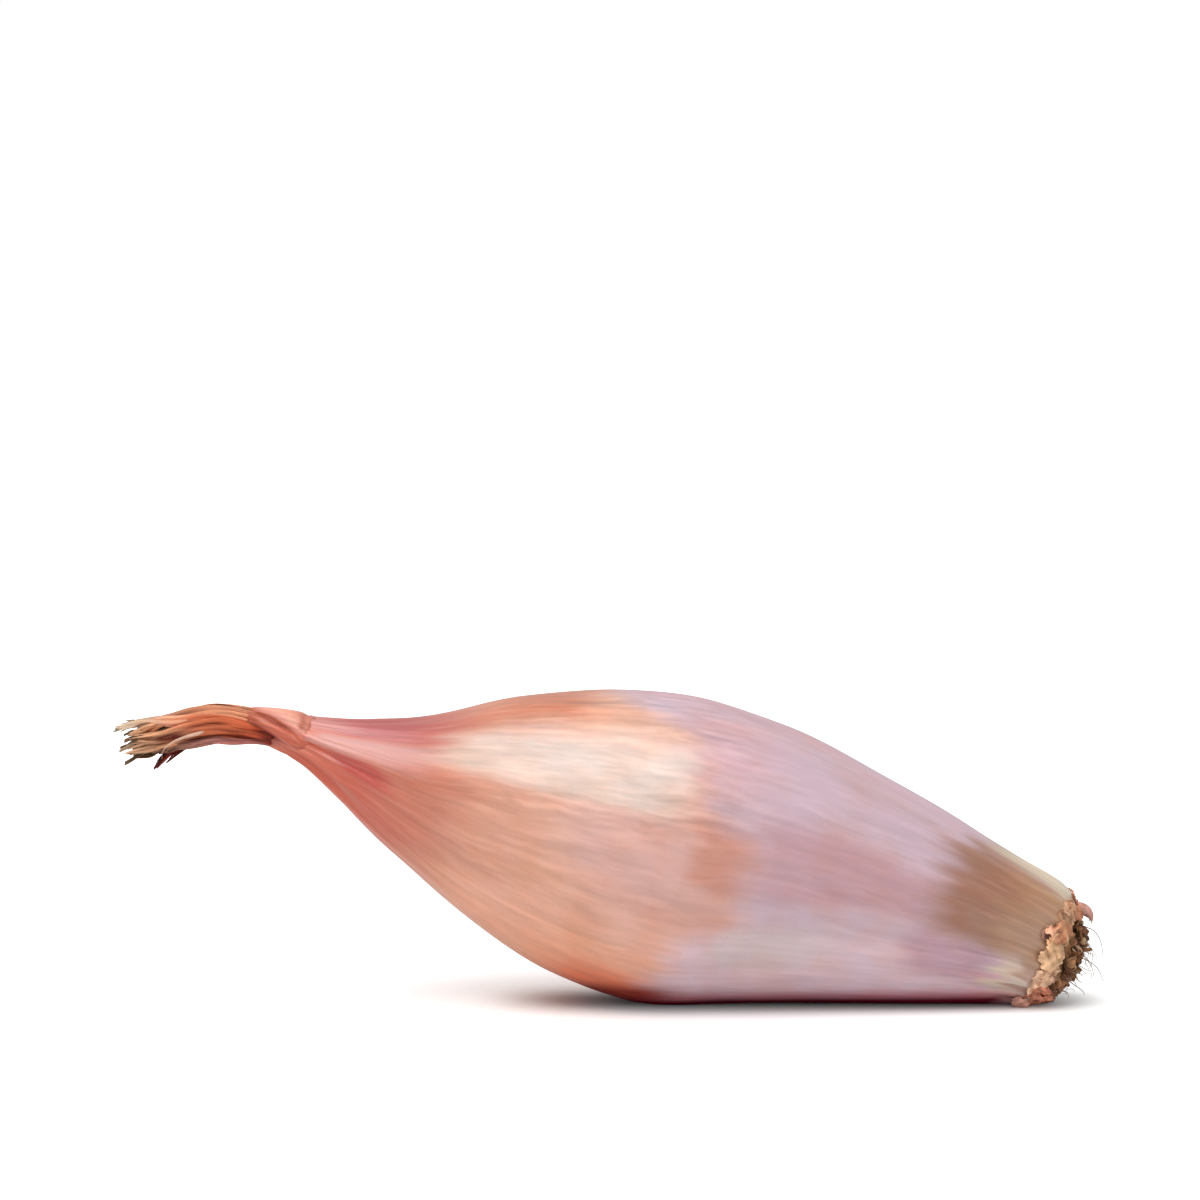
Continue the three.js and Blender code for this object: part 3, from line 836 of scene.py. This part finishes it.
# Folds across the top by the neck, placed by a share of the collar's length, and folds that follow the
# slanting edge, placed by a share that reaches 1 at that edge. Each: its place, half its width, its height,
# and the angles in degrees over which it comes in.
NECK_SIDE_FOLDS = [
    (0.08, 0.035, -0.14, (4, 34)),
    (0.26, 0.05, -0.22, (4, 34)),
]
SLANTED_FOLDS = [
    (0.54, 0.075, -0.3, (-4, 12)),
    (0.78, 0.1, 0.24, (-40, -30)),
]
# The collar's tints: on top by the neck, then by the slanting edge on top and at the side. Their dark stops
# in the folds' valleys and at the slanting edge are painted shade.
NECK_SIDE_TINTS = [(0, "c4807c"), (0.08, "a8605c"), (0.14, "c4786a"), (0.26, "b06450"), (0.36, "d29080"),
                   (0.48, "e0a08c")]
SLANT_TOP_TINTS = [(0.1, "dda296"), (0.27, "d89385"), (0.41, "c47665"), (0.49, "a84e34"), (0.56, "90341c"),
                   (0.62, "ae5238"), (0.72, "cb745d"), (0.83, "c2644c"), (0.92, "8e2c1a"), (1, "6a1404")]
SLANT_SIDE_TINTS = [(0.25, "c4705a"), (0.47, "c05e44"), (0.6, "c4664e"), (0.78, "c05a42"), (0.88, "c4684f"),
                    (0.94, "9c3420"), (1, "6a1404")]
COLLAR_END_TINT = "a8502f"


def collar():
    """The flap of outer skin that runs on from the neck over the leaves, far on top and short below."""
    share, across = grid(110, 150, low=0)
    angle = np.radians(lerp(*COLLAR_SIDES, across)) + 0 * share
    slant = COLLAR_SLANT[0] + COLLAR_SLANT[1] * np.sin(angle)
    reach = np.minimum(slant, COLLAR_END) + 0.012 * ripples(14, 0 * angle, angle, 0, 20)
    along = share * reach
    waver = 0.02 * ripples(16, 3 * share, angle, 1, 4) + 0.012 * ripples(17, 5 * share, angle, 1, 16)
    warped = share + waver
    edgewise = 1 - (slant - along) / COLLAR_END + waver
    degrees = np.degrees(angle)
    folds = sum(
        height * bump(place, middle, half) * smoothstep(degrees, *comes_in)
        for place, group in ((warped, NECK_SIDE_FOLDS), (edgewise, SLANTED_FOLDS))
        for middle, half, height, comes_in in group
    )
    creases = 0.04 * ripples(9, 4 * share, angle - 0.5 * share, 1, 26, 24) * (1 - 0.5 * share)
    tucked = 0.5 * (1 - smoothstep(across, 0, 0.12)) + 0.45 * smoothstep(across, 0.9, 1)
    tucked = tucked + 0.12 * smoothstep(warped, 0.95, 1)
    radius = catmull(COLLAR_STATIONS, along)[..., 2] + folds + creases - tucked
    outer, inner = (around(COLLAR_STATIONS, along, radius - depth, angle) for depth in (0, 0.18))
    points, faces = sheet(outer, inner)

    def tint_at(stops, place):
        return tint_between(stops, place.ravel()).reshape(*place.shape, 3)

    top = tint_at(SLANT_TOP_TINTS, edgewise)
    top = lerp(tint_at(NECK_SIDE_TINTS, warped), top, smoothstep(edgewise, 0.12, 0.36)[..., None])
    top = lerp(top, levels(COLLAR_END_TINT), 0.7 * smoothstep(warped, 0.74, 0.95)[..., None])
    tint = lerp(tint_at(SLANT_SIDE_TINTS, edgewise), top, smoothstep(degrees, 0, 26)[..., None])
    x = catmull(COLLAR_STATIONS, along)[..., 0]
    values = {
        "grain": both_faces(np.stack([np.cos(angle), np.sin(angle), x], -1)),
        # Painted shade: lighter on the creases' ridges and darker in their hollows
        "tint": both_faces(tint * (1 + 2.6 * creases)[..., None]),
        "shine": np.full(len(points), 0.6),
        "lively": np.full(len(points), 0.8),
    }
    return piece("neck_collar_paper", points, faces, values, PALE_LEAF, "neck_collar")


# ---- Root end ----

root_forward = direction(BULB_STATIONS, np.array([1]))[0]
ROOT_AXIS = np.array([root_forward[0], 0, root_forward[1]])
ROOT_UP = np.array([-ROOT_AXIS[2], 0, ROOT_AXIS[0]])
root_station = catmull(BULB_STATIONS, np.array([1]))[0]
ROOT_CENTRE = np.array([root_station[0], 0, root_station[1]]) + ROOT_AXIS * (RIM_STEP + PLATE_GAP)
ASIDE = np.array([0, 1, 0])


def root_point(out, radius, angle):
    """Points at a distance past the root plate's foot, a radius and an angle."""
    out, radius, angle = (np.asarray(v, float)[..., None] for v in np.broadcast_arrays(out, radius, angle))
    return ROOT_CENTRE + ROOT_AXIS * out + ROOT_UP * radius * np.sin(angle) - ASIDE * radius * np.cos(angle)


def plate_height(radius):
    """How far the root plate's dome stands out at a radius."""
    share = np.clip(radius / PLATE_RADIUS, 0, 1)
    return PLATE_BULGE * (1 - share**PLATE_SQUARENESS) ** (1 / PLATE_SQUARENESS)


def tube(path, radii, sides, turn=0):
    """A closed tube along a path of points."""
    forward = unit(np.gradient(path, axis=0))
    first = unit(np.cross(forward, [0.36, 0.48, 0.8]))
    second = np.cross(forward, first)
    angle = (turn + circle(sides))[None, :, None]
    ring = first[:, None] * np.cos(angle) + second[:, None] * np.sin(angle)
    return loft(path[:, None] + ring * np.asarray(radii)[:, None, None])


def lump(random, centre, size):
    """A small irregular bit."""
    polar = np.linspace(0.35, pi - 0.35, 5)[:, None]
    turn = circle(7)[None, :]
    wide = np.sin(polar)
    shape = np.stack([wide * np.cos(turn), wide * np.sin(turn), np.cos(polar) + 0 * turn], -1)
    shape = shape * random.uniform(0.75, 1.25, (5, 7, 1)) * size * random.uniform(0.5, 1.3, 3)
    spin, _ = np.linalg.qr(random.normal(size=(3, 3)))
    return loft(shape @ spin + centre)


def on_dome(radius, angle):
    """A point on the root plate's dome and the way out from it."""
    foot = root_point(plate_height(radius), radius, angle)
    return foot, unit(foot - root_point(-FAN_DEPTH, 0, 0))


def lowness(angle):
    """1 at the root plate's lowest edge, where it nearly meets the floor, and 0 over most of it."""
    return smoothstep(-np.sin(angle), 0.1, 0.9)


def tinted(body, code, light=1):
    """A body with its tint, made lighter or darker."""
    return *body, {"tint": levels(code) * light}


def stub(random, radius, angle):
    """A short thick end of a dead root, which stands on the dome."""
    foot, away = on_dome(radius, angle)
    bend = random.normal(size=3) * 0.3
    steps = np.linspace(-0.4, 1, 6)[:, None]
    length = random.uniform(0.45, 0.95) * (1 - 0.6 * lowness(angle))
    path = foot + away * length * steps + bend * length * steps**2
    radii = random.uniform(0.26, 0.44) * np.array([1.1, 1.1, 1, 0.95, 0.9, 0.6])
    return tube(lifted(path, 0.5), radii, 7, random.uniform(0, 3))


def curl(random, radius, angle):
    """A thin dead root, which lies curled on the dome."""
    foot, away = on_dome(radius, angle)
    flat = unit(np.cross(away, random.normal(size=3)))
    side = np.cross(away, flat)
    steps = np.linspace(-1, 1, 12)[:, None]
    half = random.uniform(0.4, 1.2)
    path = foot + flat * half * steps + side * random.normal() * 0.5 * steps**2 * half
    rise = random.uniform(0.15, 0.6) * (1 - 0.6 * lowness(angle))
    path = path + away * (rise * (1 - steps**2) - 0.25 * steps**2)
    return tube(lifted(path, 0.4), random.uniform(0.1, 0.22) * np.linspace(1.1, 0.7, 12), 6)


STUBS = 95
CURLS = 190
GOLDEN_ANGLE = 2.39996
DOME_TINT = "805a3e"
STUB_TINTS = ["64402c", "7e5438", "906244", "9c7452", "b09670", "80604c", "986e58"]
CURL_TINTS = ["563424", "744a34", "8c6246", "a47e5c", "bc9e7a", "987a66"]


def root_plate():
    """The corky dome, matted with the stubs and curls of its dead roots."""
    random = np.random.default_rng(17)
    share = np.linspace(0, 1, 60)[:, None]
    angle = circle(160)[None, :]
    radius = PLATE_RADIUS * np.cos(0.5 * pi * share) * (1 + 0 * angle)
    rough = ripples(21, 16 * share, angle, 1, 12, 30) + 0.8 * ripples(22, 44 * share, angle, 1, 30, 40)
    dome = root_point(plate_height(radius) + 0.2 * rough - 0.15, radius * (1 + 0.03 * rough), angle)
    # Painted shade: the dome is lighter on its bumps and darker in its dips
    light = np.append(1 + 0.35 * rough.ravel(), [1, 1])
    bodies = [tinted(loft(dome), DOME_TINT, np.clip(light, 0.3, 2)[:, None])]
    for k in range(STUBS):
        place = PLATE_RADIUS * 0.98 * sqrt((k + 0.5) / STUBS)
        body = stub(random, place, GOLDEN_ANGLE * k + random.uniform(-0.25, 0.25))
        bodies.append(tinted(body, random.choice(STUB_TINTS)))
    for _ in range(CURLS):
        place = PLATE_RADIUS * sqrt(random.uniform(0.02, 1))
        body = curl(random, place, random.uniform(0, 2 * pi))
        bodies.append(tinted(body, random.choice(CURL_TINTS)))
    return piece("root_plate_cork", *joined(bodies), CORK, "root_plate")


# The scales of dry skin round the root plate, by the node that they stand for: place and half width in
# degrees, where a scale begins and ends past the plate's foot, how far its end lifts, and its tint
FLAKES = {
    "skin_flake_top": [
        (60, 11, (-1.2, 1.2), 0.2, "a87256"), (76, 8, (-1.1, 1.3), 0.3, "8c523a"),
        (94, 12, (-1.1, 1.3), 0.3, "b08066"),
    ],
    "skin_flake_upper": [
        (44, 14, (-2.3, 0.3), 0.2, "b88c6c"), (30, 10, (-2.2, 0.5), 0.3, "b07c5c"),
        (25, 5, (-3.3, -1.7), 0.3, "ce987c"), (20, 4, (-3.5, -2.5), 0.2, "b48474"),
        (53, 8, (-2.2, 0.2), 0.3, "c09476"),
    ],
    "skin_flake_tan": [
        (-23, 13, (-2.2, 1.1), 0.4, "d8b092"), (1, 14, (-2.3, 0.7), 0.3, "cca480"),
        (-10, 9, (-1.9, 1.1), 0.7, "d0a886"), (17, 12, (-2.2, 0.5), 0.5, "cca27c"),
    ],
    "skin_flake_floor": [
        (-52, 8, (-2.6, -0.9), 0.2, "c09080"), (-56, 16, (-1.8, 1.9), 0.3, "c08068"),
        (-42, 14, (-1.9, 1.6), 0.6, "c07a60"), (-34, 7, (-1, 1.5), 0.8, "b8785c"),
    ],
    "skin_flake_back_low": [
        (-112, 14, (-1.9, 1.1), 0.1, "b4846a"), (-136, 17, (-2, 1.3), 0.3, "c89c7a"),
    ],
    "skin_flake_back": [
        (196, 16, (-2.1, 1.2), 0.3, "be9274"), (170, 18, (-2, 1.4), 0.5, "cfa584"),
        (182, 5, (-2.8, -1.2), 0.3, "dcb498"),
    ],
    "skin_flake_back_high": [
        (140, 15, (-2.2, 1.1), 0.2, "b48a6a"), (118, 16, (-1.7, 1.2), 0.6, "c09878"),
        (106, 5, (-2.4, -0.8), 0.3, "a46a50"),
    ],
}
FLAKE_THICKNESS = 0.22
# The outline of bulb and root plate at its end: distance past the plate's foot, and radius
SHOULDER = np.array([
    (-5.5, 9.75), (-4, 9.25), (-2.6, 8.8), (-1.4, 8.35), (-0.8, 7.95),
    (-0.2, 7.5), (0.6, 6.9), (1.6, 6.1), (3.2, 5.2),
])
# The pink curl on top arches out from the rim and down: the same two numbers, from its foot to its tip
CURL_LINE = [(-0.8, 8), (0.2, 8.3), (1.1, 8.5), (2, 8.4), (2.7, 7.9), (3, 7.1)]
CURL_AT, CURL_HALF, CURL_TINT = 76, 12, "bc8a7c"
CRUMBS = 8  # on each flake


def flake_sheet(out, radius, angle):
    return sheet(root_point(out, radius, angle), root_point(out, radius - FLAKE_THICKNESS, angle))


def skin_scale(random, scale):
    """One crumpled scale of dry skin on the bulb's shoulder."""
    at, half, (begins, ends), lift, code = scale
    share, across = grid(30, 52)
    seed = int(random.integers(10000))
    ragged = [waves(seed + k, 4 * across, 9) + 0.4 * waves(seed + 9 + k, 20 * across, 9) for k in (0, 1)]
    begins = begins + (ends - begins) * (0.15 * across**4 + 0.09 * ragged[0])
    ends = ends - (ends - begins) * (0.15 * across**4 + 0.1 * ragged[1])
    out = lerp(begins, ends, share)
    width = 1 - 0.15 * np.abs(2 * share - 1) ** 4
    width = width + 0.12 * waves(seed + 2, 6 * share) + 0.05 * waves(seed + 12, 24 * share)
    angle = np.radians(at + half * (across * width + 0.1 * waves(seed + 3, 4 * share, 6)))
    folds = 0.17 * ripples(seed + 4, 2 * out, angle, 1, 12, 16)
    crumple = 0.09 * ripples(seed + 5, 6 * out, angle, 1, 40, 36)
    radius = np.interp(out, *SHOULDER.T) + shoulder_bulge(angle) + 0.3 + folds + crumple
    radius = radius + lift * smoothstep(share, 0.4, 1) ** 1.5 - 0.12 * (1 - smoothstep(share, 0, 0.15))
    points, faces = flake_sheet(out, radius, angle)
    # Painted shade: lighter on the folds and crumples that stand out, darker in their hollows
    light = np.clip(1 + 1.3 * folds + 1.8 * crumple, 0.4, 1.5)
    return tinted((lifted(points, 0.05), faces), code, both_faces(light)[:, None])


def top_curl():
    """The pink curl of dry skin above the root plate."""
    share, across = grid(40, 24)
    half = CURL_HALF * (1 - 0.3 * share**2) * (1 + 0.12 * waves(61, 7 * share))
    angle = np.radians(CURL_AT + 5 * share + half * across)
    line = catmull(CURL_LINE, share[:, 0])
    out, radius = line[:, :1] + 0 * across, line[:, 1:]
    crumple = 0.14 * ripples(62, 6 * share, angle, 1, 40, 30)
    body = flake_sheet(out, radius + crumple - 0.35 * across**2, angle)
    # Painted shade: darker in the crumples' hollows; the curl also darkens towards its tip
    light = np.clip((1 + 2 * crumple) * (1 - 0.35 * share**2), 0.4, 1.4)
    return tinted(body, CURL_TINT, both_faces(light)[:, None])


def skin_flake(seed, node, scales):
    """A flake's scales and the crumbs on them."""
    random = np.random.default_rng(seed)
    bodies = [skin_scale(random, scale) for scale in scales]
    if node == "skin_flake_top":
        bodies.append(top_curl())
    for _ in range(CRUMBS):
        at, half, reach, _, code = scales[random.integers(len(scales))]
        size = random.uniform(0.1, 0.26)
        out = random.uniform(*reach)
        angle = radians(at + 0.8 * half * random.uniform(-1, 1))
        foot = root_point(out, np.interp(out, *SHOULDER.T) + shoulder_bulge(angle) + 0.35, angle)
        foot[2] = max(foot[2], 1.3 * size)
        light = random.uniform(0.5, 1.1)
        bodies.append(tinted(lump(random, foot, size), code, light))
    return piece(node + "_paper", *joined(bodies), FLAKE, node)


# The dead roots: place and ring on the plate as in the CAD part, reach, and rise or fall
ROOTS = [
    ("root_long", 3, 5.2, 3, 4.6),
    ("root_front", 1, 3.4, 3.4, 2.4),
    ("root_low", 11, 3.4, 3, 0.2),
    ("root_back", 5, 3.4, 3.2, 3.2),
    ("root_back_low", 7, 3.4, 2.6, 0.4),
]
ROOT_PLACES = 12
HAIRS = 7  # beside each dead root
HAIR_TINTS = ["8c7a66", "a5937c", "bbb09c"]


def dead_root(seed, node, place, first_ring, reach, fall):
    """A thin dead root and the finer hairs beside it."""
    random = np.random.default_rng(seed)
    angle = 2 * pi * place / ROOT_PLACES
    steps = np.linspace(0, 1, 24)[:, None]
    bodies = []
    for k in range(1 + HAIRS):
        main = k == 0
        ring = first_ring if main else random.uniform(2.6, 4.6)
        spot, away = on_dome(ring, angle + (0 if main else random.uniform(-0.7, 0.7)))
        size = 1 if main else random.uniform(0.25, 0.7)
        path = spot + away * reach * size * np.sin(steps * 1.5)
        path[:, 2] -= fall * size * steps[:, 0] ** 2
        stray = [waves(seed + 9 * k + c, 8 * steps, 6) for c in range(3)]
        path += (0.08 if main else 0.35) * np.hstack(stray) * steps
        body = tube(lifted(path, 0.2), (0.06 if main else 0.05) * np.linspace(1.3, 0.6, 24), 5)
        bodies.append(tinted(body, random.choice(HAIR_TINTS)))
    return piece(node + "_hair", *joined(bodies), FIBRE, node)


# ---- Build ----

bulb_skin()
for number, leaf in enumerate(LEAVES):
    dry_leaf(100 + 10 * number, leaf)
core_strands()
collar()
root_plate()
for number, (node, scales) in enumerate(FLAKES.items()):
    skin_flake(200 + 10 * number, node, scales)
for number, root in enumerate(ROOTS):
    dead_root(300 + 10 * number, *root)

# ---- Floor, light and camera ----

# The floor's spots are measured from the line that the part lies along: its middle and half its length.
# Nearest the part the floor only takes light. Over these two distances it glows white for the camera, and
# the first glow is painted light that makes the part's shadow lighter close by.
LINE_MIDDLE = 0.013
LINE_HALF = 0.03
WHITENS = [(0.001, 0.015, 0.4), (0.015, 0.26, 0.6)]  # from, to, by how much
FLOOR_HALF = 6.0


def floor():
    """A pale floor with the part's shadow, which the camera sees as plain white away from the part."""
    look = Look("floor", Base_Color=(0.8, 0.8, 0.8, 1), Roughness=1, Specular_IOR_Level=0)
    place = look.node("TexCoord", {}, "Object")
    aside = look.vector("ABSOLUTE", look.vector("ADD", place, (-LINE_MIDDLE, 0, 0)))
    aside = look.vector("MAXIMUM", look.vector("SUBTRACT", aside, (LINE_HALF, 0, 0)))
    reach = look.vector("LENGTH", aside, output="Value")
    near, far = (look.span(reach, begins, ends, 0, most) for begins, ends, most in WHITENS)
    seen = look.node("LightPath", {}, "Is Camera Ray")
    glow = look.math("MULTIPLY", look.math("ADD", near, far), seen)
    white = look.node("Emission", {"Color": (1, 1, 1, 1), "Strength": glow})
    both = look.node("AddShader", {0: look.shader.outputs[0], 1: white})
    look.tree.links.new(both, look.tree.nodes["Material Output"].inputs["Surface"])

    mesh = bpy.data.meshes.new("floor")
    corners = [(FLOOR_HALF * x, FLOOR_HALF * y, 0) for x, y in ((-1, -1), (1, -1), (1, 1), (-1, 1))]
    mesh.from_pydata(corners, [], [(0, 1, 2, 3)])
    mesh.materials.append(look.material)
    added("floor", mesh)


WORLD_LIGHT = 0.62


def world():
    """Soft light from all sides, which the camera sees as plain white."""
    made = bpy.data.worlds.new("studio")
    bpy.context.scene.world = made
    made.use_nodes = True
    tree = made.node_tree
    background = tree.nodes["Background"]
    background.inputs["Color"].default_value = (1, 1, 1, 1)
    seen = wired(tree, "LightPath", {}, "Is Camera Ray")
    strength = wired(tree, "MapRange", {"Value": seen, "To Min": WORLD_LIGHT, "To Max": 1})
    tree.links.new(strength, background.inputs["Strength"])


def area_light(name, place, width, height, watts):
    """A rectangular lamp that faces the part."""
    light = bpy.data.lights.new(name, "AREA")
    light.shape = "RECTANGLE"
    light.size = width
    light.size_y = height
    light.energy = watts
    made = added(name, light)
    made.location = place
    made.rotation_euler = Vector(place).to_track_quat("Z", "Y").to_euler()


# The camera: focal length and sensor in millimetres, its turn round the part and rise above level in
# degrees, its distance in metres, and how far it looks left of the part's middle and above its top
LENS, SENSOR = 100, 36
TURN, RISE, DISTANCE = 1, 3, 0.45
LOOKS_LEFT, LOOKS_ABOVE = 0.0012, 0.0122


def camera():
    data = bpy.data.cameras.new("camera")
    data.lens = LENS
    data.sensor_width = SENSOR
    data.clip_start = 0.01
    made = added("camera", data)
    turn, rise = radians(TURN), radians(RISE)
    back = Vector((sin(turn) * cos(rise), -cos(turn) * cos(rise), sin(rise)))
    lowest, highest = cad_box
    middle = (lowest.x + highest.x) / 2
    made.location = Vector((middle - LOOKS_LEFT, 0, highest.z + LOOKS_ABOVE)) + back * DISTANCE
    made.rotation_euler = (-back).to_track_quat("-Z", "Y").to_euler()
    bpy.context.scene.camera = made


floor()
world()
area_light("softbox", (-0.12, -0.2, 0.56), 0.5, 0.56, 2.7)
area_light("low_fill", (0.15, -0.7, 0.14), 1.3, 0.24, 0.6)
camera()
bpy.context.scene.view_settings.view_transform = "Standard"
